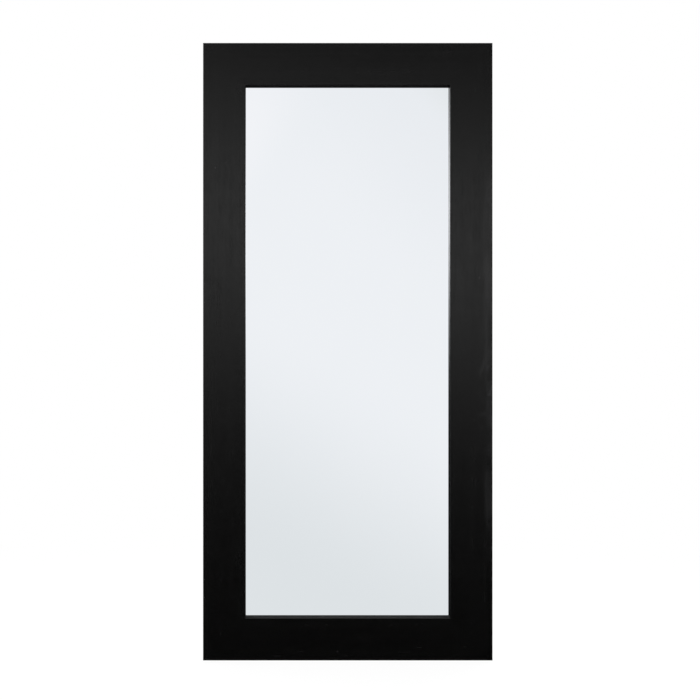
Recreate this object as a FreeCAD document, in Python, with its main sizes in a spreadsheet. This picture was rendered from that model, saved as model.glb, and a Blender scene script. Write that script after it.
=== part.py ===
import FreeCAD, Part
import math
import os
import re

import Sketcher

# A full-length wall mirror in a flat, wide, mitred frame.
# Millimetres, +Z up, the front faces -Y. The wall is the plane y = 0, which the four rubber bumpers
# touch, and the origin is on it, behind the middle of the frame.

SIZES = [
    ("frame_width", 750, "frame, outside"),
    ("frame_height", 1600, "frame, outside"),
    ("frame_depth", 30, "thickness of the mouldings"),
    ("face_width", 110, "width of the mouldings' front face"),
    ("arris_radius", 1.5, "rounding of the front edges"),
    ("lip_overlap", 8, "how far the frame's lip covers the glass"),
    ("glass_clearance", 2, "gap round the glass, filled by the edge pads"),
    ("glass_thickness", 4, "mirror glass"),
    ("packing_thickness", 2, "card sheet behind the glass"),
    ("board_thickness", 3, "hardboard back"),
    ("board_ledge", 14, "width of the step that the hardboard is screwed to"),
    ("board_clearance", 1, "gap round the hardboard"),
    ("pad_length", 60, "rubber pad at the edge of the glass"),
    ("flat_screw_head", 6.6, "countersunk screw, head diameter"),
    ("flat_screw_shank", 3.5, "countersunk screw, shank diameter"),
    ("flat_screw_length", 16, "countersunk screw, whole length"),
    ("pan_screw_head", 7.5, "pan-head screw, head diameter"),
    ("pan_screw_rise", 2.4, "pan-head screw, height of the head"),
    ("pan_screw_dome", 1.2, "pan-head screw, rounding of the head"),
    ("pan_screw_shank", 4, "pan-head screw, shank diameter"),
    ("pan_screw_length", 18, "pan-head screw, length under the head"),
    ("screw_point", 3, "length of a screw's point"),
    ("recess_span", 3.6, "cross recess, from end to end"),
    ("recess_slot", 0.9, "cross recess, width of a slot"),
    ("recess_depth", 1.3, "cross recess, depth"),
    ("hole_clearance", 0.4, "a through hole is this much wider than its screw"),
    ("sink_clearance", 0.1, "a countersink is this much wider than its head"),
    ("pilot_clearance", 0.1, "a pilot hole is this much wider than its screw"),
    ("pilot_spare", 2, "a pilot hole is this much deeper than its screw"),
    ("board_screw_end", 60, "last screw to the end of the hardboard's edge"),
    ("nail_leg_length", 9, "mitre nail, length of a leg"),
    ("nail_thickness", 0.6, "mitre nail, sheet thickness"),
    ("nail_depth", 12, "mitre nail, depth in the wood"),
    ("nail_edge", 8, "mitre nails to the ends of the mitre's full-depth stretch"),
    ("plate_leg_length", 90, "corner plate, length of a leg"),
    ("plate_width", 18, "corner plate, width of a leg"),
    ("plate_thickness", 2, "corner plate, thickness"),
    ("plate_round", 4, "corner plate, rounding of the ends"),
    ("plate_gap", 7, "corner plate to the bumper, across the stile"),
    ("plate_hole_inner", 12, "corner plate, first hole beyond the other leg"),
    ("plate_hole_outer", 12, "corner plate, last hole to the end of the leg"),
    ("strap_width", 14, "hanger strap, width"),
    ("strap_thickness", 1.2, "hanger strap, thickness"),
    ("strap_round", 5, "hanger strap, rounding of the end"),
    ("strap_hole_gap", 2, "hanger strap, first screw head to the folded ring"),
    ("strap_hole_pitch", 4, "hanger strap, gap between the two screw heads"),
    ("strap_hole_end", 8, "hanger strap, last hole to the end"),
    ("ring_wire", 3.5, "hanger ring, wire diameter"),
    ("ring_bend", 3.5, "hanger ring, bend radius at the bar's ends"),
    ("ring_side", 5, "hanger ring, from the bar to the round end's centre"),
    ("ring_play", 0.5, "hanger ring, play beside the strap"),
    ("loop_clearance", 0.25, "gap round the ring's bar in the strap's loop"),
    ("hanger_drop", 350, "upright hangers, pivot below the top of the frame"),
    ("side_hanger_drop", 240, "side hangers, pivot from the frame's ends"),
    ("side_hanger_inset", 23, "side hangers, pivot from the frame's outer edge"),
    ("bumper_height", 8, "rubber bumper, and so the frame's gap to the wall"),
    ("bumper_diameter", 22, "rubber bumper, across its base"),
    ("bumper_taper", 1, "rubber bumper, how much smaller its face's radius is"),
    ("bumper_floor", 3, "rubber bumper, thickness under the screw's head"),
    ("bumper_recess_gap", 1.5, "rubber bumper, gap round the screw's head"),
    ("bumper_inset", 16, "rubber bumper, centre from the frame's side"),
    ("bumper_drop", 60, "rubber bumper, centre from the frame's end"),
]
SIDE_SCREW_COUNT = 7
END_SCREW_COUNT = 3
COUNTERSINK_DEGREES = 90

doc = FreeCAD.newDocument("framed_mirror")
sheet = doc.addObject("Spreadsheet::Sheet", "Sizes")
for row, (alias, size, meaning) in enumerate(SIZES, start=1):
    sheet.set(f"A{row}", meaning)
    sheet.set(f"B{row}", str(size))
    sheet.setAlias(f"B{row}", alias)
doc.recompute()

# Formulas are written with the aliases. These are the ones that more than one piece needs.
HALF_WIDTH = "frame_width / 2"
HALF_HEIGHT = "frame_height / 2"
REBATE = "(lip_overlap + glass_clearance)"
STEPPED_EDGE = "(lip_overlap + glass_clearance + board_ledge)"
FULL_DEPTH_WIDTH = f"(face_width - {STEPPED_EDGE})"
GLASS_REBATE_DEPTH = "(board_thickness + packing_thickness + glass_thickness)"
FLAT_HEAD_DEPTH = "(flat_screw_head - flat_screw_shank) / 2"
PLATE_EDGE = "(bumper_inset + bumper_diameter / 2 + plate_gap)"
LOOP_RADIUS = "(ring_wire / 2 + loop_clearance)"
PIVOT_TO_WALL = f"(bumper_height - strap_thickness - {LOOP_RADIUS})"
RING_HALF_WIDTH = "(strap_width / 2 + ring_play + ring_bend)"
RING_REACH = f"(ring_side + {RING_HALF_WIDTH} + ring_wire / 2)"
FIRST_STRAP_HOLE = f"({RING_REACH} + strap_hole_gap + pan_screw_head / 2)"
SECOND_STRAP_HOLE = f"({FIRST_STRAP_HOLE} + pan_screw_head + strap_hole_pitch)"
# Each corner: its name, the signs of x and z there, and the turn about Y from the bottom left one.
CORNERS = [
    ("bottom_left", -1, -1, 0),
    ("top_left", -1, 1, 90),
    ("top_right", 1, 1, 180),
    ("bottom_right", 1, -1, 270),
]
Y_AXIS = FreeCAD.Vector(0, 1, 0)
# Sketches are first drawn at this size, before their constraints put each point in its place.
START_SIZE = 10
# Two lengths closer than this are the same where edges are picked.
TOLERANCE = 0.001
nodes = []


def bound(formula):
    """The formula with each alias as a reference to its cell."""
    return re.sub(r"[a-z_]+", lambda word: "Sizes." + word.group(), formula)


def place(thing, x="0", y="0", z="0", turn=0):
    """Sets a piece at three formulas, turned about Y by some degrees."""
    thing.Placement = FreeCAD.Placement(FreeCAD.Vector(), FreeCAD.Rotation(Y_AXIS, turn))
    for axis, formula in zip("xyz", (x, y, z)):
        thing.setExpression(f"Placement.Base.{axis}", bound(formula))


def new_body(label):
    body = doc.addObject("PartDesign::Body", label)
    body.Label = label
    return body


def keep(piece):
    """Makes the piece one of the nodes that are written."""
    nodes.append(piece)
    return piece


def new_sketch(body, name, plane="XZ_Plane", offset="0"):
    """A sketch on one of the body's own planes. On XZ its offset is the distance from the wall."""
    sketch = body.newObject("Sketcher::SketchObject", name)
    origin_plane = next(part for part in body.Origin.OriginFeatures if part.Role == plane)
    sketch.AttachmentSupport = (origin_plane, [""])
    sketch.MapMode = "FlatFace"
    sketch.setExpression("AttachmentOffset.Base.z", bound(offset))
    return sketch


def hold(sketch, kind, points, start, formula):
    """Adds a constraint that begins at a start value and then follows its formula."""
    index = sketch.addConstraint(Sketcher.Constraint(kind, *points, start))
    sketch.setExpression(f"Constraints[{index}]", bound(formula))


def hold_point(sketch, element, end, start, across, up):
    """Ties a point of an element to two formulas, measured from the sketch's origin."""
    hold(sketch, "DistanceX", (-1, 1, element, end), start.x, across)
    hold(sketch, "DistanceY", (-1, 1, element, end), start.y, up)


def draw_polygon(sketch, corners):
    """A closed outline through corners that are pairs of formulas."""
    first = sketch.GeometryCount
    count = len(corners)
    turns = [2 * math.pi * number / count for number in range(count)]
    starts = [FreeCAD.Vector(math.cos(turn), math.sin(turn), 0) * START_SIZE for turn in turns]
    for number in range(count):
        sketch.addGeometry(Part.LineSegment(starts[number], starts[(number + 1) % count]))
    for number in range(count):
        following = first + (number + 1) % count
        sketch.addConstraint(Sketcher.Constraint("Coincident", first + number, 2, following, 1))
    for number, (across, up) in enumerate(corners):
        hold_point(sketch, first + number, 1, starts[number], across, up)


def draw_circles(sketch, centres, diameter):
    """Circles of one diameter at centres that are pairs of formulas."""
    for number, (across, up) in enumerate(centres):
        start = FreeCAD.Vector(START_SIZE * (number + 1), START_SIZE, 0)
        circle = sketch.addGeometry(Part.Circle(start, FreeCAD.Vector(0, 0, 1), 1))
        hold_point(sketch, circle, 3, start, across, up)
        hold(sketch, "Diameter", (circle,), 2, diameter)


def rectangle(half_across, half_up):
    """The corners of a rectangle round the origin, from two formulas."""
    signs = ((-1, -1), (1, -1), (1, 1), (-1, 1))
    return [(f"{right} * ({half_across})", f"{up} * ({half_up})") for right, up in signs]


def angle_outline(leg, width):
    """The corners of an L with equal legs along +X and +Z."""
    return [("0", "0"), (leg, "0"), (leg, width), (width, width), (width, leg), ("0", leg)]


def extrude(body, sketch, length, both_ways=False):
    """Pads a sketch along its normal, which is towards the front on XZ."""
    feature = body.newObject("PartDesign::Pad", "Pad")
    feature.Profile = sketch
    feature.setExpression("Length", bound(length))
    feature.Midplane = both_ways
    doc.recompute()
    return feature


def cut(body, sketch, depth=None):
    """Pockets a sketch along its normal, right through where no depth is given."""
    before = body.Shape.Volume
    feature = body.newObject("PartDesign::Pocket", "Pocket")
    feature.Profile = sketch
    feature.Reversed = True
    if depth is None:
        feature.Type = "ThroughAll"
    else:
        feature.setExpression("Length", bound(depth))
    doc.recompute()
    if not body.Shape.Volume < before:
        raise ValueError(f"a cut in {body.Label} removes nothing")
    return feature


def sink(body, sketch):
    """Countersinks through holes for the flat-head screws where a sketch has circles."""
    before = body.Shape.Volume
    feature = body.newObject("PartDesign::Hole", "Hole")
    feature.Profile = sketch
    feature.Reversed = True
    feature.DepthType = "ThroughAll"
    feature.HoleCutType = "Countersink"
    feature.HoleCutCustomValues = True
    feature.HoleCutCountersinkAngle = COUNTERSINK_DEGREES
    feature.setExpression("Diameter", bound("flat_screw_shank + hole_clearance"))
    feature.setExpression("HoleCutDiameter", bound("flat_screw_head + sink_clearance"))
    doc.recompute()
    if not body.Shape.Volume < before:
        raise ValueError(f"a hole in {body.Label} removes nothing")
    return feature


def turn_profile(body, corners):
    """Revolves a half profile, pairs of radius and height formulas, about Y."""
    profile = new_sketch(body, "profile", "XY_Plane")
    draw_polygon(profile, corners)
    feature = body.newObject("PartDesign::Revolution", "Revolution")
    feature.Profile = profile
    feature.ReferenceAxis = (profile, ["V_Axis"])
    feature.Angle = 360
    doc.recompute()
    return feature


def soften(body, base, chosen, radius):
    """Fillets the edges of a feature for which chosen(edge) is true."""
    edges = [f"Edge{number}" for number, edge in enumerate(base.Shape.Edges, start=1) if chosen(edge)]
    feature = body.newObject("PartDesign::Fillet", "Fillet")
    feature.Base = (base, edges)
    feature.setExpression("Radius", bound(radius))
    doc.recompute()
    return feature


def slab(label, outline, to_wall, thickness):
    """A flat sheet: an outline whose back lies at a distance from the wall."""
    body = new_body(label)
    outline_sketch = new_sketch(body, "outline", offset=to_wall)
    draw_polygon(outline_sketch, outline)
    extrude(body, outline_sketch, thickness)
    return body


def group(label, pattern, places):
    """One node of identical fasteners: the pattern linked at each place, (x, y, z, turn)."""
    links = []
    for number, (x, y, z, turn) in enumerate(places, start=1):
        link = doc.addObject("App::Link", f"{label}_{number}")
        link.LinkedObject = pattern
        place(link, x, y, z, turn)
        links.append(link)
    compound = doc.addObject("Part::Compound", label)
    compound.Label = label
    compound.Links = links
    return keep(compound)


def from_corner(across, up, right, top):
    """A point given by its distances in from the frame's edges at one corner."""
    return f"{right} * ({HALF_WIDTH} - ({across}))", f"{top} * ({HALF_HEIGHT} - ({up}))"


def evenly(count, half_span):
    """Formulas for places from one end of a span to the other."""
    return [f"({2 * number / (count - 1) - 1}) * ({half_span})" for number in range(count)]


# Screw places, as pairs of formulas, sorted by the moulding that they go into.
SCREW_LINE = f"({FULL_DEPTH_WIDTH} + board_ledge / 2)"
BOARD_HALF_WIDTH = f"({HALF_WIDTH} - {FULL_DEPTH_WIDTH} - board_clearance)"
BOARD_HALF_HEIGHT = f"({HALF_HEIGHT} - {FULL_DEPTH_WIDTH} - board_clearance)"
side_heights = evenly(SIDE_SCREW_COUNT, f"{BOARD_HALF_HEIGHT} - board_screw_end")
end_places = evenly(END_SCREW_COUNT, f"{BOARD_HALF_WIDTH} - board_screw_end")
board_holes = {
    "left_stile": [(f"{SCREW_LINE} - {HALF_WIDTH}", height) for height in side_heights],
    "right_stile": [(f"{HALF_WIDTH} - {SCREW_LINE}", height) for height in side_heights],
    "top_rail": [(across, f"{HALF_HEIGHT} - {SCREW_LINE}") for across in end_places],
    "bottom_rail": [(across, f"{SCREW_LINE} - {HALF_HEIGHT}") for across in end_places],
}

# A corner plate has two holes in each leg, given as distances from the plate's outer corner.
PLATE_HOLES_ALONG = ["plate_width + plate_hole_inner", "plate_leg_length - plate_hole_outer"]
plate_holes = {moulding: [] for moulding in board_holes}
for name, right, top, turn in CORNERS:
    rail = "top_rail" if top > 0 else "bottom_rail"
    stile = "right_stile" if right > 0 else "left_stile"
    for along in PLATE_HOLES_ALONG:
        far = f"({PLATE_EDGE} + {along})"
        middle = f"({PLATE_EDGE} + plate_width / 2)"
        plate_holes[rail].append(from_corner(far, middle, right, top))
        plate_holes[stile].append(from_corner(middle, far, right, top))

# Each hanger: its name, its moulding, the place of its pivot, and its turn from strap down.
HANGER_LINE = f"{FULL_DEPTH_WIDTH} / 2"
left_line, hanger_height = from_corner(HANGER_LINE, "hanger_drop", -1, 1)
right_line = from_corner(HANGER_LINE, "hanger_drop", 1, 1)[0]
HANGERS = [
    ("left", "left_stile", (left_line, hanger_height), 0),
    ("right", "right_stile", (right_line, hanger_height), 0),
    ("side_upper", "left_stile", from_corner("side_hanger_inset", "side_hanger_drop", -1, 1), 270),
    ("side_lower", "left_stile", from_corner("side_hanger_inset", "side_hanger_drop", -1, -1), 270),
]
hanger_holes = {moulding: [] for moulding in board_holes}
for name, stile, (across, up), turn in HANGERS:
    for down in (FIRST_STRAP_HOLE, SECOND_STRAP_HOLE):
        if turn == 0:
            hanger_holes[stile].append((across, f"{up} - {down}"))
        else:
            hanger_holes[stile].append((f"{across} + {down}", up))

bumper_holes = {moulding: [] for moulding in board_holes}
for name, right, top, turn in CORNERS:
    stile = "right_stile" if right > 0 else "left_stile"
    bumper_holes[stile].append(from_corner("bumper_inset", "bumper_drop", right, top))

# Three nails cross each mitre, spread over the stretch where the mouldings have their full depth.
LAST_NAIL = f"({FULL_DEPTH_WIDTH} - nail_leg_length - nail_edge)"
NAIL_PLACES = ["nail_edge", f"(nail_edge + {LAST_NAIL}) / 2", LAST_NAIL]


def nail_slot(inset, right, top):
    """The outline that a nail fills at one corner, as corners of the whole frame's sketch."""
    shape = angle_outline("nail_leg_length", "nail_thickness")
    return [from_corner(f"{inset} + {x}", f"{inset} + {z}", right, top) for x, z in shape]


# The four mouldings. Each is a mitred plank with its front edges rounded, a deep rebate at the back
# for the glass, a shallow step for the hardboard, pilot holes and the slots that the nails made.
def moulding(label, right, top):
    """One side of the frame. Of right and top, one is the side's sign and the other is 0."""
    ends = (-1, 1)
    if top:
        outer = [from_corner("0", "0", end, top) for end in ends]
        inner = [from_corner("face_width", "face_width", end, top) for end in reversed(ends)]
        nail_corners = [(end, top) for end in ends]
    else:
        outer = [from_corner("0", "0", right, end) for end in ends]
        inner = [from_corner("face_width", "face_width", right, end) for end in reversed(ends)]
        nail_corners = [(right, end) for end in ends]
    body = slab(label, outer + inner, "bumper_height", "frame_depth")
    front = body.Shape.BoundBox.YMin
    length = FreeCAD.Vector(abs(top), 0, abs(right))

    def front_arris(edge):
        """The long edges of the front face."""
        on_front = edge.BoundBox.YMax - front < TOLERANCE
        return on_front and edge.tangentAt(edge.FirstParameter).cross(length).Length < TOLERANCE

    soften(body, body.Tip, front_arris, "arris_radius")

    glass_rebate = new_sketch(body, "glass_rebate", offset="bumper_height")
    glass_edges = f"{HALF_WIDTH} - face_width + {REBATE}", f"{HALF_HEIGHT} - face_width + {REBATE}"
    draw_polygon(glass_rebate, rectangle(*glass_edges))
    cut(body, glass_rebate, GLASS_REBATE_DEPTH)

    board_step = new_sketch(body, "board_step", offset="bumper_height")
    step_edges = f"{HALF_WIDTH} - {FULL_DEPTH_WIDTH}", f"{HALF_HEIGHT} - {FULL_DEPTH_WIDTH}"
    draw_polygon(board_step, rectangle(*step_edges))
    cut(body, board_step, "board_thickness")

    pilots = [
        (board_holes, "flat_screw_shank", "flat_screw_length"),
        (plate_holes, "flat_screw_shank", "flat_screw_length - plate_thickness"),
        (hanger_holes, "pan_screw_shank", "pan_screw_length - strap_thickness"),
        (bumper_holes, "pan_screw_shank", "pan_screw_length - bumper_floor"),
    ]
    for holes, shank, depth in pilots:
        if holes[label]:
            pilot = new_sketch(body, "pilot_holes", offset="bumper_height")
            draw_circles(pilot, holes[label], f"{shank} + pilot_clearance")
            cut(body, pilot, f"{depth} + pilot_spare")

    slots = new_sketch(body, "nail_slots", offset="bumper_height")
    for right_sign, top_sign in nail_corners:
        for inset in NAIL_PLACES:
            draw_polygon(slots, nail_slot(inset, right_sign, top_sign))
    cut(body, slots, "nail_depth")
    return keep(body)


moulding("left_stile", -1, 0)
moulding("right_stile", 1, 0)
moulding("top_rail", 0, 1)
moulding("bottom_rail", 0, -1)

# Mirror glass, the card behind it and the rubber pads that keep its edges off the wood.
GLASS_HALF_WIDTH = f"({HALF_WIDTH} - face_width + lip_overlap)"
GLASS_HALF_HEIGHT = f"({HALF_HEIGHT} - face_width + lip_overlap)"
GLASS_TO_WALL = "bumper_height + board_thickness + packing_thickness"
glass_outline = rectangle(GLASS_HALF_WIDTH, GLASS_HALF_HEIGHT)
keep(slab("mirror_glass", glass_outline, GLASS_TO_WALL, "glass_thickness"))
keep(slab("packing_sheet", glass_outline, "bumper_height + board_thickness", "packing_thickness"))


def edge_pad(label, across, up, turn):
    """A pad whose middle lies at one place in the gap round the glass, along X unless turned."""
    outline = rectangle("pad_length / 2", "glass_clearance / 2")
    body = slab(label, outline, GLASS_TO_WALL, "glass_thickness")
    place(body, x=across, z=up, turn=turn)
    keep(body)


for name, right, top, turn in CORNERS:
    row, side = name.split("_")
    pad_across = f"{right} * {GLASS_HALF_WIDTH} / 2"
    pad_up = f"{top} * ({GLASS_HALF_HEIGHT} + glass_clearance / 2)"
    edge_pad(f"edge_pad_{row}_rail_{side}", pad_across, pad_up, 0)
    pad_across = f"{right} * ({GLASS_HALF_WIDTH} + glass_clearance / 2)"
    pad_up = f"{top} * {GLASS_HALF_HEIGHT} / 2"
    edge_pad(f"edge_pad_{side}_stile_{row}", pad_across, pad_up, 90)

# The hardboard back, flush with the back of the frame, with countersunk holes round its edge.
board_outline = rectangle(BOARD_HALF_WIDTH, BOARD_HALF_HEIGHT)
board = slab("backing_board", board_outline, "bumper_height", "board_thickness")
board_sketch = new_sketch(board, "screw_holes", offset="bumper_height")
all_board_holes = [hole for holes in board_holes.values() for hole in holes]
draw_circles(board_sketch, all_board_holes, "flat_screw_shank + hole_clearance")
sink(board, board_sketch)
keep(board)


# Steel corner plates, screwed flat across the mitres.
def corner_plate(name, right, top, turn):
    outline = angle_outline("plate_leg_length", "plate_width")
    body = slab(f"corner_plate_{name}", outline, "bumper_height - plate_thickness", "plate_thickness")
    leg_end = body.Shape.BoundBox.XMax

    def end_corner(edge):
        """The short edges, through the plate's thickness, at the ends of the two legs."""
        box = edge.BoundBox
        at_end = abs(max(box.XMax, box.ZMax) - leg_end) < TOLERANCE
        return at_end and box.YLength > max(box.XLength, box.ZLength)

    soften(body, body.Tip, end_corner, "plate_round")
    holes = new_sketch(body, "screw_holes", offset="bumper_height - plate_thickness")
    rail_leg = [(along, "plate_width / 2") for along in PLATE_HOLES_ALONG]
    stile_leg = [("plate_width / 2", along) for along in PLATE_HOLES_ALONG]
    draw_circles(holes, rail_leg + stile_leg, "flat_screw_shank + hole_clearance")
    sink(body, holes)
    across, up = from_corner(PLATE_EDGE, PLATE_EDGE, right, top)
    place(body, x=across, z=up, turn=turn)
    keep(body)


for name, right, top, turn in CORNERS:
    corner_plate(name, right, top, turn)


# Hangers: a steel strap rolled into a loop round the bar of a bent wire ring. They are drawn with the
# pivot on the Y axis and the strap down, and the ring hangs down over its strap.
def hanger_strap(name, across, up, turn):
    length = f"{SECOND_STRAP_HOLE} + strap_hole_end"
    outline = [("-strap_width / 2", "0"), ("-strap_width / 2", f"-({length})")]
    outline += [("strap_width / 2", f"-({length})"), ("strap_width / 2", "0")]
    body = slab(f"hanger_strap_{name}", outline, "bumper_height - strap_thickness", "strap_thickness")
    strap_end = body.Shape.BoundBox.ZMin

    def end_corner(edge):
        """The short edges, through the strap's thickness, at its lower end."""
        box = edge.BoundBox
        return box.YLength > box.XLength and abs(box.ZMax - strap_end) < TOLERANCE

    soften(body, body.Tip, end_corner, "strap_round")
    pivot = [(f"-{PIVOT_TO_WALL}", "0")]
    loop = new_sketch(body, "loop", "YZ_Plane")
    draw_circles(loop, pivot, f"2 * ({LOOP_RADIUS} + strap_thickness)")
    draw_circles(loop, pivot, f"2 * {LOOP_RADIUS}")
    extrude(body, loop, "strap_width", both_ways=True)
    holes = new_sketch(body, "screw_holes", offset="bumper_height - strap_thickness")
    hole_places = [("0", f"-{FIRST_STRAP_HOLE}"), ("0", f"-{SECOND_STRAP_HOLE}")]
    draw_circles(holes, hole_places, "pan_screw_shank + hole_clearance")
    cut(body, holes)
    place(body, x=across, z=up, turn=turn)
    keep(body)


def hanger_ring(name, across, up, turn):
    body = new_body(f"hanger_ring_{name}")
    path = new_sketch(body, "path", offset=PIVOT_TO_WALL)
    draw_ring_path(path)
    section = new_sketch(body, "section", "YZ_Plane")
    draw_circles(section, [(f"-{PIVOT_TO_WALL}", "0")], "ring_wire")
    pipe = body.newObject("PartDesign::AdditivePipe", "Pipe")
    pipe.Profile = section
    pipe.Spine = path
    doc.recompute()
    place(body, x=across, z=up, turn=turn)
    keep(body)


def draw_ring_path(path):
    """The wire's centre line: from the middle of the bar, round a D and back."""
    half_width = sheet.strap_width / 2 + sheet.ring_play + sheet.ring_bend
    bend = sheet.ring_bend
    side = sheet.ring_side
    normal = FreeCAD.Vector(0, 0, 1)
    bar_end = half_width - bend

    def arc(centre, radius, first, last):
        circle = Part.Circle(FreeCAD.Vector(*centre), normal, radius)
        return Part.ArcOfCircle(circle, math.radians(first), math.radians(last))

    def line(start, end):
        return Part.LineSegment(FreeCAD.Vector(*start), FreeCAD.Vector(*end))

    right_bar = path.addGeometry(line((0, 0), (bar_end, 0)))
    right_bend = path.addGeometry(arc((bar_end, -bend), bend, 0, 90))
    right_side = path.addGeometry(line((half_width, -bend), (half_width, -side)))
    round_end = path.addGeometry(arc((0, -side), half_width, 180, 360))
    left_side = path.addGeometry(line((-half_width, -side), (-half_width, -bend)))
    left_bend = path.addGeometry(arc((-bar_end, -bend), bend, 90, 180))
    left_bar = path.addGeometry(line((-bar_end, 0), (0, 0)))
    joins = [
        (right_bar, 2, right_bend, 2),
        (right_bend, 1, right_side, 1),
        (right_side, 2, round_end, 2),
        (round_end, 1, left_side, 1),
        (left_side, 2, left_bend, 2),
        (left_bend, 1, left_bar, 1),
    ]
    for join in joins:
        path.addConstraint(Sketcher.Constraint("Tangent", *join))
    path.addConstraint(Sketcher.Constraint("Coincident", left_bar, 2, right_bar, 1))
    path.addConstraint(Sketcher.Constraint("Coincident", right_bar, 1, -1, 1))
    path.addConstraint(Sketcher.Constraint("Horizontal", right_bar))
    path.addConstraint(Sketcher.Constraint("Horizontal", left_bar))
    path.addConstraint(Sketcher.Constraint("Vertical", right_side))
    hold(path, "Radius", (right_bend,), bend, "ring_bend")
    hold(path, "Radius", (left_bend,), bend, "ring_bend")
    hold_point(path, round_end, 3, FreeCAD.Vector(0, -side), "0", "-ring_side")
    hold(path, "Radius", (round_end,), half_width, RING_HALF_WIDTH)


for name, stile, (across, up), turn in HANGERS:
    hanger_strap(name, across, up, turn)
    hanger_ring(name, across, up, turn)


# Rubber bumpers, screwed on through a recess.
def bumper(name, right, top):
    body = new_body(f"bumper_{name}")
    hole = "(pan_screw_shank + hole_clearance) / 2"
    recess = "(pan_screw_head / 2 + bumper_recess_gap)"
    seat = "bumper_floor - bumper_height"
    profile = [
        (hole, "-bumper_height"),
        ("bumper_diameter / 2", "-bumper_height"),
        ("bumper_diameter / 2 - bumper_taper", "0"),
        (recess, "0"),
        (recess, seat),
        (hole, seat),
    ]
    turn_profile(body, profile)
    across, up = from_corner("bumper_inset", "bumper_drop", right, top)
    place(body, x=across, z=up)
    keep(body)


for name, right, top, turn in CORNERS:
    bumper(name, right, top)


# Fasteners: one pattern of each kind, then a group for each job.
def cross_recess(body, top):
    """Cuts a cross recess into a screw's head, whose top is at a height above the pattern's origin."""
    recess = new_sketch(body, "recess", offset=f"-({top})")
    reach = "recess_span / 2"
    slot = "recess_slot / 2"
    quarter = [(reach, slot), (slot, slot), (slot, reach)]
    upper_half = quarter + [(f"-{x}", z) for x, z in reversed(quarter)]
    lower_half = [(x, f"-{z}") for x, z in reversed(upper_half)]
    draw_polygon(recess, upper_half + lower_half)
    cut(body, recess, "recess_depth")


flat_screw = new_body("flat_screw_pattern")
flat_screw_profile = [
    ("0", "0"),
    ("flat_screw_head / 2", "0"),
    ("flat_screw_shank / 2", f"-{FLAT_HEAD_DEPTH}"),
    ("flat_screw_shank / 2", "screw_point - flat_screw_length"),
    ("0", "-flat_screw_length"),
]
turn_profile(flat_screw, flat_screw_profile)
cross_recess(flat_screw, "0")

pan_screw = new_body("pan_screw_pattern")
pan_screw_profile = [
    ("0", "pan_screw_rise"),
    ("pan_screw_head / 2", "pan_screw_rise"),
    ("pan_screw_head / 2", "0"),
    ("pan_screw_shank / 2", "0"),
    ("pan_screw_shank / 2", "screw_point - pan_screw_length"),
    ("0", "-pan_screw_length"),
]
turned = turn_profile(pan_screw, pan_screw_profile)
head_top = pan_screw.Shape.BoundBox.YMax


def head_rim(edge):
    """The round edge of the head's top."""
    return edge.isClosed() and abs(edge.BoundBox.YMin - head_top) < TOLERANCE


soften(pan_screw, turned, head_rim, "pan_screw_dome")
cross_recess(pan_screw, "pan_screw_rise")

mitre_nail_outline = angle_outline("nail_leg_length", "nail_thickness")
mitre_nail = slab("mitre_nail_pattern", mitre_nail_outline, "bumper_height", "nail_depth")


def screw_places(holes, to_wall):
    """Places for a screw whose seat is at a distance from the wall."""
    return [(x, f"-({to_wall})", z, 0) for members in holes.values() for x, z in members]


group("backing_screws", flat_screw, screw_places(board_holes, "bumper_height"))
group("plate_screws", flat_screw, screw_places(plate_holes, "bumper_height - plate_thickness"))
group("hanger_screws", pan_screw, screw_places(hanger_holes, "bumper_height - strap_thickness"))
group("bumper_screws", pan_screw, screw_places(bumper_holes, "bumper_height - bumper_floor"))
nail_places = []
for name, right, top, turn in CORNERS:
    for inset in NAIL_PLACES:
        across, up = from_corner(inset, inset, right, top)
        nail_places.append((across, "0", up, turn))
group("mitre_nails", mitre_nail, nail_places)

# Every object has to be sound before anything is written.
doc.recompute()
for item in doc.Objects:
    if "Invalid" in item.State or "Error" in item.State:
        raise ValueError(f"{item.Label} failed: {item.State}")
for node in nodes:
    if node.Shape.isNull() or not node.Shape.isValid():
        raise ValueError(f"{node.Label} has no sound shape")
os.makedirs("parts", exist_ok=True)
for node in nodes:
    node.Shape.exportStep(f"parts/{node.Label}.step")
    print(node.Label, len(node.Shape.Solids), round(node.Shape.Volume, 1))
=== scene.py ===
import math

import bmesh
import bpy
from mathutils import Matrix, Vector


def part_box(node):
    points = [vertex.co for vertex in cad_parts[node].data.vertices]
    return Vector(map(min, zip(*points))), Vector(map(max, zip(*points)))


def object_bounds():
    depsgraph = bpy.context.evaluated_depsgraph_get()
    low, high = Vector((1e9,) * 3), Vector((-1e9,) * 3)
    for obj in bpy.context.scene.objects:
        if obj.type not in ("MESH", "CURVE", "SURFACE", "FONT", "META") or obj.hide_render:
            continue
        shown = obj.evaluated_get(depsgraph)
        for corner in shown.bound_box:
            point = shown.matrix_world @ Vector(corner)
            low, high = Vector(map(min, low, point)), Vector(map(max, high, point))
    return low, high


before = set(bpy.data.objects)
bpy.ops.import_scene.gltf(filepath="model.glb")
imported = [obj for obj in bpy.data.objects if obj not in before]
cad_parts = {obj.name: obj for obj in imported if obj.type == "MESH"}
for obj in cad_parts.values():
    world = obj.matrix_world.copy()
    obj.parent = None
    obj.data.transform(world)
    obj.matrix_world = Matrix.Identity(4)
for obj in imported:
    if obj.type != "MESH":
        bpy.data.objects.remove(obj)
cad_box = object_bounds()

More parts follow.
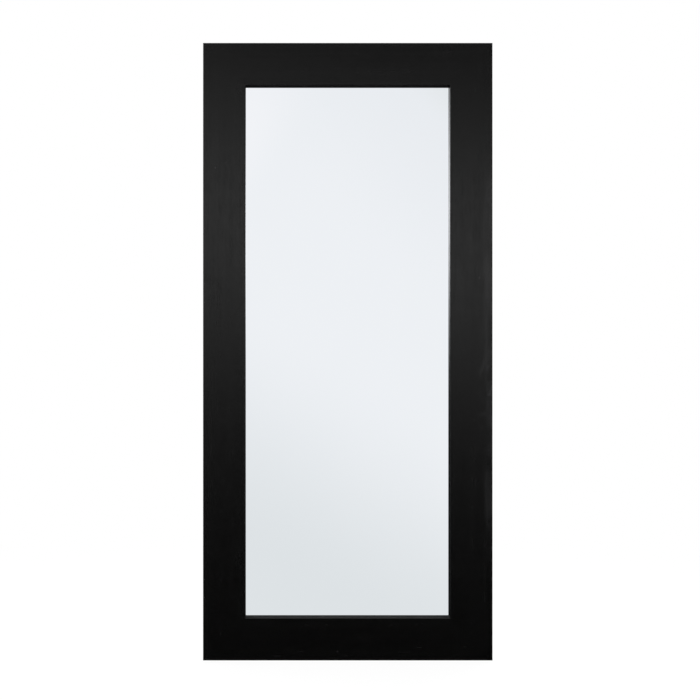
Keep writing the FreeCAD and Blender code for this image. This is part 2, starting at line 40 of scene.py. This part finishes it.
# Mouldings: four planks of pale softwood, mitred, glued and nailed together at the corners.
# The joined frame is sprayed satin black on its front, edges and lip. Its back stays bare, apart from
# the overspray along the outer edges.
MILLIMETRE = 0.001
FRAME_LOW, FRAME_HIGH = cad_box
HALF_WIDTH = FRAME_HIGH.x
HALF_HEIGHT = FRAME_HIGH.z
WOOD_FRONT = FRAME_LOW.y
WOOD_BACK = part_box("left_stile")[1].y
FACE_WIDTH = HALF_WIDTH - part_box("right_stile")[0].x
GLASS_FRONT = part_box("mirror_glass")[0].y


class Output:
    """An output of a shader node. Arithmetic with numbers or other outputs adds Math nodes."""

    def __init__(self, tree, socket):
        self.tree = tree
        self.socket = socket

    def fill(self, node, values):
        """Sets or links some of a node's sockets, by name or number."""
        for name, value in values.items():
            if isinstance(value, Output):
                self.tree.links.new(value.socket, node.inputs[name])
            else:
                node.inputs[name].default_value = value

    def node(self, kind, settings, values, result=0):
        """Adds a node: first its settings, then the values or links of its sockets."""
        made = self.tree.nodes.new(f"ShaderNode{kind}")
        for name, setting in settings.items():
            if name == "stops":
                ramp = made.color_ramp.elements
                for place, colour in setting[1:-1]:
                    ramp.new(place).color = colour
                ramp[0].position, ramp[0].color = setting[0]
                ramp[-1].position, ramp[-1].color = setting[-1]
            else:
                setattr(made, name, setting)
        self.fill(made, values)
        return Output(self.tree, made.outputs[result])

    def beside(self, name):
        """Another output of the same node."""
        return Output(self.tree, self.socket.node.outputs[name])

    def math(self, operation, first, second=0.0):
        return self.node("Math", {"operation": operation}, {0: first, 1: second})

    def at_most(self, other):
        return self.math("MINIMUM", self, other)

    def at_least(self, other):
        return self.math("MAXIMUM", self, other)

    def __abs__(self):
        return self.math("ABSOLUTE", self)

    def __lt__(self, other):
        return self.math("LESS_THAN", self, other)

    def __add__(self, other):
        return self.math("ADD", self, other)

    def __radd__(self, other):
        return self.math("ADD", other, self)

    def __sub__(self, other):
        return self.math("SUBTRACT", self, other)

    def __rsub__(self, other):
        return self.math("SUBTRACT", other, self)

    def __mul__(self, other):
        return self.math("MULTIPLY", self, other)

    def __rmul__(self, other):
        return self.math("MULTIPLY", other, self)


def new_finish(name):
    """A new material, and the place on the piece that its pattern depends on."""
    material = bpy.data.materials.new(name)
    material.use_nodes = True
    nodes = material.node_tree.nodes
    return material, Output(material.node_tree, nodes.new("ShaderNodeTexCoord").outputs["Object"])


def lay_finish(material, place, values):
    """Feeds the material's shader."""
    place.fill(material.node_tree.nodes["Principled BSDF"], values)


def dress(material, *names):
    """Gives CAD nodes their finish."""
    for name in names:
        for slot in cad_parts[name].material_slots:
            slot.material = material


def along(place, axis):
    """One coordinate of a place."""
    return place.node("SeparateXYZ", {}, {"Vector": place}, axis)


def noise(place, count, lengthwise=None, axis="Z", detail=2, distortion=0):
    """Soft noise from 0 to 1, with count patches to the metre, or lengthwise patches along one axis."""
    counts = {"X": count, "Y": count, "Z": count}
    counts[axis] = lengthwise or count
    spread = place.node("Mapping", {}, {"Vector": place, "Scale": tuple(counts.values())})
    values = {"Vector": spread, "Scale": 1, "Detail": detail, "Distortion": distortion}
    return place.node("TexNoise", {}, values)


def ease(value, start, end):
    """A smooth rise from 0 at start to 1 at end."""
    settings = {"interpolation_type": "SMOOTHSTEP"}
    return value.node("MapRange", settings, {"Value": value, "From Min": start, "From Max": end})


def patches(place, count, start, end, **shape):
    """Soft-edged patches, where noise rises from the level start to the level end."""
    return ease(noise(place, count, **shape), start, end)


def between(value, limits, blur):
    """1 between two limits, with soft borders."""
    low, high = limits
    return ease(value, low - blur / 2, low + blur / 2) * ease(value, high + blur / 2, high - blur / 2)


BORDER_ROOM = 0.1 * MILLIMETRE
BORDER_BLUR = 0.3 * MILLIMETRE


def reaches(value, border):
    """1 where a value reaches a border, and 0 from a hair's breadth before it."""
    return ease(value, border - BORDER_ROOM - BORDER_BLUR, border - BORDER_ROOM)


def mixed(share, first, second):
    """A colour between two colours. Sockets 6 and 7 hold the colours, and output 2 the result."""
    return share.node("Mix", {"data_type": "RGBA"}, {0: share, 6: first, 7: second}, 2)


def bump(height, depth):
    """The normal of a surface with a relief of that depth."""
    return height.node("Bump", {}, {"Height": height, "Distance": depth, "Strength": 1})


MARKED_SIDE = (HALF_WIDTH - 75 * MILLIMETRE, HALF_WIDTH - 35 * MILLIMETRE)
MARK_BLUR = 0.1
RUBBED_FADE = (26 * MILLIMETRE, 14 * MILLIMETRE)
RUBBED_HEIGHTS = (-0.51, 0.45)
RUBBED_STRENGTH = 0.4
SMUDGED_FADE = (44 * MILLIMETRE, 10 * MILLIMETRE)
SMUDGED_HEIGHTS = (-0.2, -0.01)


def handling_marks(place, right, up, side_room):
    """Marks of hands at the right stile's outer edge: a rubbed band, and smudges in its middle."""
    on_right = ease(right, *MARKED_SIDE)
    rubbed = on_right * ease(side_room, *RUBBED_FADE) * between(up, RUBBED_HEIGHTS, MARK_BLUR)
    rubbed = rubbed * patches(place, count=30, start=0.36, end=0.6, lengthwise=9, detail=3)
    smudged = on_right * ease(side_room, *SMUDGED_FADE) * between(up, SMUDGED_HEIGHTS, MARK_BLUR)
    smudges = smudged * patches(place, count=48, start=0.46, end=0.66, lengthwise=36, detail=5)
    return smudges.at_least(rubbed * RUBBED_STRENGTH)


DUST_CELLS = 38
DUST_CHOICE = (0.9, 0.91)
DUST_RADIUS = (0.115, 0.075)
DUST_RAGGEDNESS = 0.1


def dust(place):
    """Ragged specks in the middle of a few cells. Their radius is a share of a cell."""
    cells = place.node("TexVoronoi", {}, {"Vector": place, "Scale": DUST_CELLS}, "Distance")
    chosen = ease(along(cells.beside("Color"), "X"), *DUST_CHOICE)
    return ease(cells + noise(place, count=800) * DUST_RAGGEDNESS, *DUST_RADIUS) * chosen


EARLY_WOOD = (0.6, 0.425, 0.26, 1)
MIDDLE_WOOD = (0.53, 0.355, 0.2, 1)
LATE_WOOD = (0.37, 0.22, 0.11, 1)
GROWTH_RING = [(0, EARLY_WOOD), (0.62, MIDDLE_WOOD), (0.9, LATE_WOOD), (1, EARLY_WOOD)]
RING_COUNT = 15
WOOD_FIBRE_STRENGTH = 0.5


def softwood(place, grain_axis):
    """Bare planed wood, with its growth rings and fibres."""
    figure = noise(place, count=10, lengthwise=0.5, axis=grain_axis, detail=1.5, distortion=0.25)
    rings = figure.math("FRACT", figure * RING_COUNT)
    wood = rings.node("ValToRGB", {"stops": GROWTH_RING}, {"Fac": rings})
    fibres = patches(place, count=520, start=0.35, end=0.75, lengthwise=9, axis=grain_axis, detail=3)
    return mixed(fibres * WOOD_FIBRE_STRENGTH, wood, LATE_WOOD)


REBATE_FRONT = GLASS_FRONT + 0.6 * MILLIMETRE
REBATE_EDGE = HALF_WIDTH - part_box("backing_board")[1].x
REBATE_BLUR = 2 * MILLIMETRE
MIST_GRAIN = 9 * MILLIMETRE
MIST_DRIFT = 6 * MILLIMETRE
PAINTED_EDGE = 5 * MILLIMETRE
BARE_EDGE = 17 * MILLIMETRE


def bare_share(place, back, edge_room):
    """Where the spray doesn't reach: the back and the rebates, apart from the mist at the outer edges."""
    in_rebate = reaches(back, REBATE_FRONT) * ease(edge_room, REBATE_EDGE - REBATE_BLUR, REBATE_EDGE)
    bare = reaches(back, WOOD_BACK).at_least(in_rebate)
    mist = noise(place, count=900) * MIST_GRAIN + noise(place, count=16) * MIST_DRIFT
    return bare * ease(edge_room + mist, PAINTED_EDGE, BARE_EDGE)


PAINT_BLACK = (0.00075, 0.00075, 0.00075, 1)
PAINT_MARKED = (0.011, 0.011, 0.0115, 1)
PAINT_DUST = (0.06, 0.06, 0.062, 1)
DUST_STRENGTH = 0.5
PAINT_ROUGHNESS = 0.174
STREAK_DULLNESS = 0.06
PORE_DULLNESS = 0.03
BLOTCH_DULLNESS = 0.06
WOOD_ROUGHNESS = 0.74
MITRE_STAIN = (0.09, 0.05, 0.025, 1)
MITRE_FADE = (0.7 * MILLIMETRE, 0.2 * MILLIMETRE)
MITRE_STRENGTH = 0.8
ARRIS_START = (WOOD_FRONT + 0.05 * MILLIMETRE, WOOD_FRONT + 0.2 * MILLIMETRE)
ARRIS_END = (WOOD_FRONT + 2 * MILLIMETRE, WOOD_FRONT + 1.6 * MILLIMETRE)
FIBRE_RELIEF = 0.4


def painted_wood(name, grain_axis, relief_depth, lip_dullness):
    """Black paint over softwood whose grain runs along X or Z, bare at the back."""
    material, place = new_finish(name)
    right = along(place, "X")
    back = along(place, "Y")
    up = along(place, "Z")
    side_room = HALF_WIDTH - abs(right)
    end_room = HALF_HEIGHT - abs(up)
    edge_room = side_room.at_most(end_room)

    paint = mixed(handling_marks(place, right, up, side_room), PAINT_BLACK, PAINT_MARKED)
    paint = mixed(dust(place) * DUST_STRENGTH, paint, PAINT_DUST)
    streaks = noise(place, count=90, lengthwise=1.6, axis=grain_axis)
    pores = patches(place, count=330, start=0.54, end=0.68, lengthwise=24, axis=grain_axis)
    blotches = noise(place, count=26, detail=4)
    paint_roughness = PAINT_ROUGHNESS + streaks * STREAK_DULLNESS + pores * PORE_DULLNESS
    paint_roughness = paint_roughness + blotches * BLOTCH_DULLNESS
    paint_roughness = paint_roughness + reaches(edge_room, FACE_WIDTH) * lip_dullness

    mitre = ease(abs(side_room - end_room), *MITRE_FADE)
    wood = mixed(mitre * MITRE_STRENGTH, softwood(place, grain_axis), MITRE_STAIN)
    bare = bare_share(place, back, edge_room)

    fibres = noise(place, count=420, lengthwise=8, axis=grain_axis, detail=3)
    relief = fibres * FIBRE_RELIEF + streaks * (1 - FIBRE_RELIEF)
    relief = relief * (1 - ease(back, *ARRIS_START) * ease(back, *ARRIS_END))
    lay_finish(material, place, {
        "Base Color": mixed(bare, paint, wood),
        "Roughness": paint_roughness + bare * (WOOD_ROUGHNESS - paint_roughness),
        "Normal": bump(relief, relief_depth),
    })
    return material


stile_finish = painted_wood("painted_stile", "Z", relief_depth=0.3 * MILLIMETRE, lip_dullness=0)
rail_finish = painted_wood("painted_rail", "X", relief_depth=0.1 * MILLIMETRE, lip_dullness=0.4)
dress(stile_finish, "left_stile", "right_stile")
dress(rail_finish, "top_rail", "bottom_rail")

# Mirror glass: one sheet of 4 mm float glass, cut square, with its silver and grey backing paint behind.
# It lies in the frame's rebate, and its cut edges are green.
GLASS_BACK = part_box("mirror_glass")[1].y
SILVER = (0.885, 0.9, 0.93, 1)
SILVER_HAZE = (0.881, 0.897, 0.928, 1)
GLASS_EDGE = (0.12, 0.27, 0.22, 1)
BACKING_PAINT = (0.2, 0.21, 0.22, 1)
BACKING_ROUGHNESS = 0.5

mirror_finish, place = new_finish("silvered_glass")
depth = along(place, "Y")
in_front = reaches(0 - depth, -GLASS_FRONT)
haze = patches(place, count=5, start=0.3, end=0.7, lengthwise=3)
backing = mixed(reaches(depth, GLASS_BACK), GLASS_EDGE, BACKING_PAINT)
lay_finish(mirror_finish, place, {
    "Base Color": mixed(in_front, backing, mixed(haze, SILVER, SILVER_HAZE)),
    "Metallic": in_front,
    "Roughness": (1 - in_front) * BACKING_ROUGHNESS,
})
dress(mirror_finish, "mirror_glass")

# Packing sheet: grey-brown card, cut to the glass, that spreads the board's pressure.
# It lies loose between the glass and the hardboard.
CARD_BROWN = (0.44, 0.33, 0.22, 1)
CARD_FLECK = (0.25, 0.18, 0.12, 1)
FLECK_STRENGTH = 0.6
PULP_STRENGTH = 0.3
CARD_ROUGHNESS = 0.8
PULP_DULLNESS = 0.12
PULP_DEPTH = 0.08 * MILLIMETRE

card_finish, place = new_finish("packing_card")
pulp = noise(place, count=240, detail=4)
flecks = patches(place, count=500, start=0.62, end=0.72, lengthwise=900)
lay_finish(card_finish, place, {
    "Base Color": mixed(flecks * FLECK_STRENGTH + pulp * PULP_STRENGTH, CARD_BROWN, CARD_FLECK),
    "Roughness": CARD_ROUGHNESS + pulp * PULP_DULLNESS,
    "Normal": bump(pulp, PULP_DEPTH),
})
dress(card_finish, "packing_sheet")

# Edge pads: strips of black rubber, pushed between the edge of the glass and the wood.
# They centre the glass and keep its cut edges from chipping.
RUBBER_BLACK = (0.012, 0.012, 0.0125, 1)
RUBBER_BLOOM = (0.05, 0.05, 0.049, 1)
BLOOM_STRENGTH = 0.7
RUBBER_ROUGHNESS = 0.58
BLOOM_DULLNESS = 0.22
SKIN_DEPTH = 0.04 * MILLIMETRE


def rubber(name):
    """Moulded black rubber with a pale bloom in patches."""
    material, place = new_finish(name)
    bloom = patches(place, count=70, start=0.42, end=0.75, detail=5)
    lay_finish(material, place, {
        "Base Color": mixed(bloom * BLOOM_STRENGTH, RUBBER_BLACK, RUBBER_BLOOM),
        "Roughness": RUBBER_ROUGHNESS + bloom * BLOOM_DULLNESS,
        "Normal": bump(noise(place, count=1800), SKIN_DEPTH),
    })
    return material


pads = [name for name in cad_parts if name.startswith("edge_pad")]
dress(rubber("pad_rubber"), *pads)

# Backing board: 3 mm hardboard, pressed from brown wood fibre, smooth and slightly glazed outside.
# It lies in its own rebate, flush with the back of the frame, and is screwed to the mouldings.
BOARD_BROWN = (0.2, 0.108, 0.053, 1)
BOARD_DARK = (0.135, 0.07, 0.034, 1)
BOARD_PALE = (0.3, 0.18, 0.098, 1)
CLOUD_SHARE = 0.3
CLOUD_LEVELS = (0.25, 0.75)
PALE_FIBRE_LEVELS = (0.58, 0.7)
PALE_FIBRE_STRENGTH = 0.4
SCUFF_PALENESS = 0.15
BOARD_ROUGHNESS = 0.44
MOTTLE_DULLNESS = 0.16
SCUFF_DULLNESS = 0.12
BOARD_RELIEF = 0.05 * MILLIMETRE

board_finish, place = new_finish("hardboard")
clouds = noise(place, count=5, lengthwise=3)
mottle = noise(place, count=190, detail=4)
fibres = noise(place, count=620, detail=3, distortion=1.5)
scuffs = patches(place, count=26, start=0.62, end=0.8, lengthwise=3, detail=5)
pressed = ease(clouds * CLOUD_SHARE + mottle * (1 - CLOUD_SHARE), *CLOUD_LEVELS)
paleness = ease(fibres, *PALE_FIBRE_LEVELS) * PALE_FIBRE_STRENGTH + scuffs * SCUFF_PALENESS
lay_finish(board_finish, place, {
    "Base Color": mixed(paleness, mixed(pressed, BOARD_DARK, BOARD_BROWN), BOARD_PALE),
    "Roughness": BOARD_ROUGHNESS + mottle * MOTTLE_DULLNESS + scuffs * SCUFF_DULLNESS,
    "Normal": bump(fibres + mottle, BOARD_RELIEF),
})
dress(board_finish, "backing_board")

# Mitre nails: V-shaped nails of thin bright steel, pressed flush into the back across each mitre.
# Their cut edges show as thin lines that have started to tarnish.
NAIL_STEEL = (0.5, 0.49, 0.48, 1)
NAIL_TARNISH = (0.22, 0.16, 0.12, 1)
NAIL_ROUGHNESS = 0.34
TARNISH_DULLNESS = 0.3

nail_finish, place = new_finish("nail_steel")
tarnish = patches(place, count=400, start=0.4, end=0.68, detail=4)
lay_finish(nail_finish, place, {
    "Base Color": mixed(tarnish, NAIL_STEEL, NAIL_TARNISH),
    "Metallic": 1 - tarnish * TARNISH_DULLNESS,
    "Roughness": NAIL_ROUGHNESS + tarnish * TARNISH_DULLNESS,
})
dress(nail_finish, "mitre_nails")

# Corner plates: L shapes stamped from 2 mm steel strip and zinc plated, screwed flat across the mitres.
# The plating has a pale spangle, a blue and straw tint and fine handling scratches.
ZINC = (0.62, 0.635, 0.65, 1)
ZINC_BLUE = (0.5, 0.56, 0.63, 1)
ZINC_STRAW = (0.66, 0.61, 0.49, 1)
ZINC_DULL = (0.4, 0.405, 0.4, 1)
SPANGLE_COUNT = 260
BLUE_LEVELS = (0.4, 0.25)
STRAW_LEVELS = (0.58, 0.75)
STRAW_STRENGTH = 0.8
DULL_BLUR = 0.25
ZINC_ROUGHNESS = 0.26
SPANGLE_ROUGHNESS = 0.08
DULL_ROUGHNESS = 0.22
SCRATCH_ROUGHNESS = 0.12
SPANGLE_RELIEF = 0.4
ZINC_RELIEF = 0.02 * MILLIMETRE


def zinc_plate(name, brightness):
    """Zinc plated steel. Brightness is the level of noise above which it is dulled."""
    material, place = new_finish(name)
    values = {"Vector": place, "Scale": SPANGLE_COUNT}
    spangle = along(place.node("TexVoronoi", {"feature": "SMOOTH_F1"}, values, "Color"), "X")
    tint = noise(place, count=34, detail=3)
    dull = patches(place, count=110, start=brightness, end=brightness + DULL_BLUR, detail=5)
    scratches = patches(place, count=1500, start=0.66, end=0.78, lengthwise=60)
    colour = mixed(ease(tint, *BLUE_LEVELS), ZINC, ZINC_BLUE)
    colour = mixed(ease(tint, *STRAW_LEVELS) * STRAW_STRENGTH, colour, ZINC_STRAW)
    roughness = ZINC_ROUGHNESS + spangle * SPANGLE_ROUGHNESS + dull * DULL_ROUGHNESS
    relief = spangle * SPANGLE_RELIEF + scratches * (1 - SPANGLE_RELIEF)
    lay_finish(material, place, {
        "Base Color": mixed(dull, colour, ZINC_DULL),
        "Metallic": 1,
        "Roughness": roughness + scratches * SCRATCH_ROUGHNESS,
        "Normal": bump(relief, ZINC_RELIEF),
    })
    return material


plates = [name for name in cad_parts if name.startswith("corner_plate")]
dress(zinc_plate("plate_zinc", brightness=0.52), *plates)

# Hangers: straps of thin zinc plated steel, each rolled into a loop round the bar of a bent wire ring.
# The straps are screwed to the stiles, and the rings swing in the loops.
straps = [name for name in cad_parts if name.startswith("hanger_strap")]
rings = [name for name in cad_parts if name.startswith("hanger_ring")]
dress(zinc_plate("strap_zinc", brightness=0.56), *straps)
dress(zinc_plate("ring_zinc", brightness=0.6), *rings)

# Bumpers: buttons of moulded black rubber, one near each corner of the back, that keep the frame off
# the wall. Each is held by a screw in its recess.
bumpers = [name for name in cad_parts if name.startswith("bumper") and name != "bumper_screws"]
dress(rubber("bumper_rubber"), *bumpers)

# Screws: zinc plated wood screws with cross recesses, countersunk and yellow in the board and plates,
# pan-headed and bright on the hangers and bumpers. The recesses get painted shade, darker towards their
# floor.
SCREW_ZINC = (0.66, 0.655, 0.63, 1)
SCREW_YELLOW = (0.72, 0.55, 0.27, 1)
SCREW_RECESS_SHADE = (0.05, 0.046, 0.04, 1)
RECESS_DEPTH = 1.3 * MILLIMETRE
RECESS_SHADE_FADE = (0.25 * RECESS_DEPTH, RECESS_DEPTH)
RECESS_SHADE_STRENGTH = 0.85
RECESS_SHADE_COVER = 0.6
RECESS_SHADE_DULLNESS = 0.3
WEAR_LEVELS = (0.5, 0.8)
WEAR_STRENGTH = 0.15
WEAR_DULLNESS = 0.14
SCREW_ROUGHNESS = 0.26


def screw_plating(name, head_top, plating):
    """Plating with painted shade that darkens it from the head's top to the floor of the recess."""
    material, place = new_finish(name)
    wear = noise(place, count=600, detail=4)
    # Painted shade: the recess turns darker, less metallic and duller the deeper it goes, mixed with real
    # wear.
    recess_shade = ease(head_top - along(place, "Y"), *RECESS_SHADE_FADE)
    shade_and_wear = recess_shade * RECESS_SHADE_STRENGTH + ease(wear, *WEAR_LEVELS) * WEAR_STRENGTH
    lay_finish(material, place, {
        "Base Color": mixed(shade_and_wear, plating, SCREW_RECESS_SHADE),
        "Metallic": 1 - recess_shade * RECESS_SHADE_COVER,
        "Roughness": SCREW_ROUGHNESS + wear * WEAR_DULLNESS + recess_shade * RECESS_SHADE_DULLNESS,
    })
    return material


platings = {
    "backing_screws": SCREW_YELLOW,
    "plate_screws": SCREW_YELLOW,
    "hanger_screws": SCREW_ZINC,
    "bumper_screws": SCREW_ZINC,
}
for screws, plating in platings.items():
    dress(screw_plating(screws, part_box(screws)[1].y, plating), screws)

# Stage: a plain pale floor under the frame, a white surround and soft studio light.
# The camera and the glass see the surround. Paint and metal see a room that is dark in front of the
# frame, apart from a strip of light. The lamps light the object plainly, and gloss doesn't show them.
WHITE = (1, 1, 1, 1)
FLOOR_SIZE = 60
FLOOR_PALE = (0.82, 0.82, 0.82, 1)
FLOOR_ROUGHNESS = 0.9
FLOOR_WHITENESS = 0.9
SHADOW_REACH = 2.5

floor_mesh = bpy.data.meshes.new("floor")
floor_shape = bmesh.new()
bmesh.ops.create_grid(floor_shape, x_segments=1, y_segments=1, size=FLOOR_SIZE)
bmesh.ops.translate(floor_shape, vec=(0, 0, FRAME_LOW.z), verts=floor_shape.verts)
floor_shape.to_mesh(floor_mesh)
floor_shape.free()
floor = bpy.data.objects.new("floor", floor_mesh)
floor.visible_glossy = False
bpy.context.scene.collection.objects.link(floor)

floor_finish, place = new_finish("pale_floor")
lay_finish(floor_finish, place, {"Base Color": FLOOR_PALE, "Roughness": FLOOR_ROUGHNESS})
floor_nodes = floor_finish.node_tree.nodes
seen = place.node("LightPath", {}, {}, "Is Camera Ray")
distance = place.node("VectorMath", {"operation": "LENGTH"}, {0: place}, "Value")
whiteness = FLOOR_WHITENESS + (1 - FLOOR_WHITENESS) * ease(distance, -FRAME_LOW.z, SHADOW_REACH)
lit = Output(floor_finish.node_tree, floor_nodes["Principled BSDF"].outputs[0])
white = place.node("Emission", {}, {"Color": WHITE})
whitened = place.node("MixShader", {}, {0: seen * whiteness, 1: lit, 2: white})
place.fill(floor_nodes["Material Output"], {"Surface": whitened})
floor_mesh.materials.append(floor_finish)

world = bpy.data.worlds.new("studio")
world.use_nodes = True
bpy.context.scene.world = world
world_tree = world.node_tree
direction = Output(world_tree, world_tree.nodes.new("ShaderNodeTexCoord").outputs["Generated"])
aside = along(direction, "X")
rearward = along(direction, "Y")
height = along(direction, "Z")

SURROUND_MIDDLE = (0.962, 0.972, 0.974, 1)
SURROUND_LOW = (0.821, 0.848, 0.845, 1)
SURROUND_SHADE = (0.917, 0.931, 0.938, 1)
SURROUND_CORNER = (0.86, 0.88, 0.865, 1)
SURROUND_FLOOR = (0.56, 0.58, 0.59, 1)


def graded(colour, next_colour, tilt, start, end):
    """A colour that turns into the next one between two heights, along a border with a tilt."""
    return mixed(ease(height + aside * tilt, start, end), colour, next_colour)


surround = graded(SURROUND_MIDDLE, WHITE, tilt=-1.5, start=0.11, end=0.18)
surround = graded(surround, SURROUND_LOW, tilt=0.53, start=0.008, end=-0.155)
surround = graded(surround, SURROUND_SHADE, tilt=0.9, start=0.1, end=0.26)
surround = graded(surround, SURROUND_CORNER, tilt=0.9, start=0.235, end=0.275)
surround = graded(surround, SURROUND_FLOOR, tilt=0, start=-0.2, end=-0.6)

STRIP_HEIGHT = 0.073
STRIP_TILT = 0.12
STRIP_WIDTH = 0.08
LEFT_FLARE = 0.8
LEFT_FLARE_FADE = (-0.08, -0.13)
RIGHT_FLARE = 0.12
RIGHT_FLARE_FADE = (0.03, 0.12)
STRIP_FADE = (0.2, -0.4)
STRIP_LIGHT = 1.6
ROOM_FADE = (-0.77, -0.5)
ROOM_RISE = (-0.5, 0.5)
ROOM_LIGHT = 1.05
ROOM_LOW_LIGHT = 0.22
WINDOW_WAY = (0.5, 0.7, 0.5)
WINDOW_FADE = (0.9, 0.98)
WINDOW_LIGHT = 0.7

strip_offset = abs(height + aside * STRIP_TILT - STRIP_HEIGHT)
left_flare = ease(aside, *LEFT_FLARE_FADE) * LEFT_FLARE
right_flare = ease(aside, *RIGHT_FLARE_FADE) * RIGHT_FLARE
strip_width = STRIP_WIDTH * (1 + left_flare + right_flare)
strip = ease(strip_offset, strip_width, 0) * ease(rearward, *STRIP_FADE)
towards = {0: direction, 1: WINDOW_WAY}
window = direction.node("VectorMath", {"operation": "DOT_PRODUCT"}, towards, "Value")
room = ROOM_LOW_LIGHT + (ROOM_LIGHT - ROOM_LOW_LIGHT) * ease(height, *ROOM_RISE)
room = room + ease(window, *WINDOW_FADE) * WINDOW_LIGHT
studio = strip * STRIP_LIGHT + ease(rearward, *ROOM_FADE) * room
studio_colour = studio.node("CombineColor", {}, {0: studio, 1: studio, 2: studio})

# In the world, Ray Depth is 1 for what the camera sees, and 2 for the first reflection.
FIRST_REFLECTION = 2.5

camera_ray = direction.node("LightPath", {}, {}, "Is Camera Ray")
in_mirror = camera_ray.beside("Is Singular Ray") * (camera_ray.beside("Ray Depth") < FIRST_REFLECTION)
shown = mixed(camera_ray, mixed(in_mirror, studio_colour, surround), WHITE)
direction.fill(world_tree.nodes["Background"], {"Color": shown, "Strength": 1})


def soft_lamp(name, spot, size, power):
    """A square lamp that faces the middle of the frame. Gloss shows the room instead of it."""
    light = bpy.data.lights.new(name, "AREA")
    light.shape = "SQUARE"
    light.size = size
    light.energy = power
    lamp = bpy.data.objects.new(name, light)
    lamp.location = spot
    lamp.rotation_mode = "QUATERNION"
    lamp.rotation_quaternion = (-Vector(spot)).to_track_quat("-Z", "Y")
    lamp.visible_glossy = False
    bpy.context.scene.collection.objects.link(lamp)


soft_lamp("front_left_lamp", spot=(-2.2, -3.2, 2.4), size=2, power=120)
soft_lamp("front_right_lamp", spot=(2.4, -3.0, 2.0), size=2, power=80)
soft_lamp("back_lamp", spot=(1.6, 2.6, 2.2), size=1.6, power=40)
soft_lamp("side_lamp", spot=(-2.6, 1.4, 1.4), size=1.4, power=20)

# Camera: level and square to the frame, a little left of its middle, as in the photograph.
# The lens and the shift put the frame where the photograph has it.
PHOTO_SIDE = 700
PHOTO_MIDDLE = Vector((347.8, 351.7))
PHOTO_HEIGHT = 617.7
VIEW_DISTANCE = 3.85
SHIFT = Vector((0.1, -0.02))

camera = bpy.data.cameras.new("camera")
camera.lens = camera.sensor_width * PHOTO_HEIGHT / PHOTO_SIDE * VIEW_DISTANCE / (2 * HALF_HEIGHT)
camera.shift_x, camera.shift_y = SHIFT
pixel = 2 * HALF_HEIGHT / PHOTO_HEIGHT
across = (PHOTO_SIDE / 2 - SHIFT.x * PHOTO_SIDE - PHOTO_MIDDLE.x) * pixel
up = (PHOTO_MIDDLE.y - PHOTO_SIDE / 2 - SHIFT.y * PHOTO_SIDE) * pixel
camera_object = bpy.data.objects.new("camera", camera)
camera_object.location = (across, FRAME_LOW.y - VIEW_DISTANCE, up)
camera_object.rotation_euler = (math.radians(90), 0, 0)
bpy.context.scene.collection.objects.link(camera_object)
bpy.context.scene.camera = camera_object
bpy.context.scene.view_settings.view_transform = "Standard"
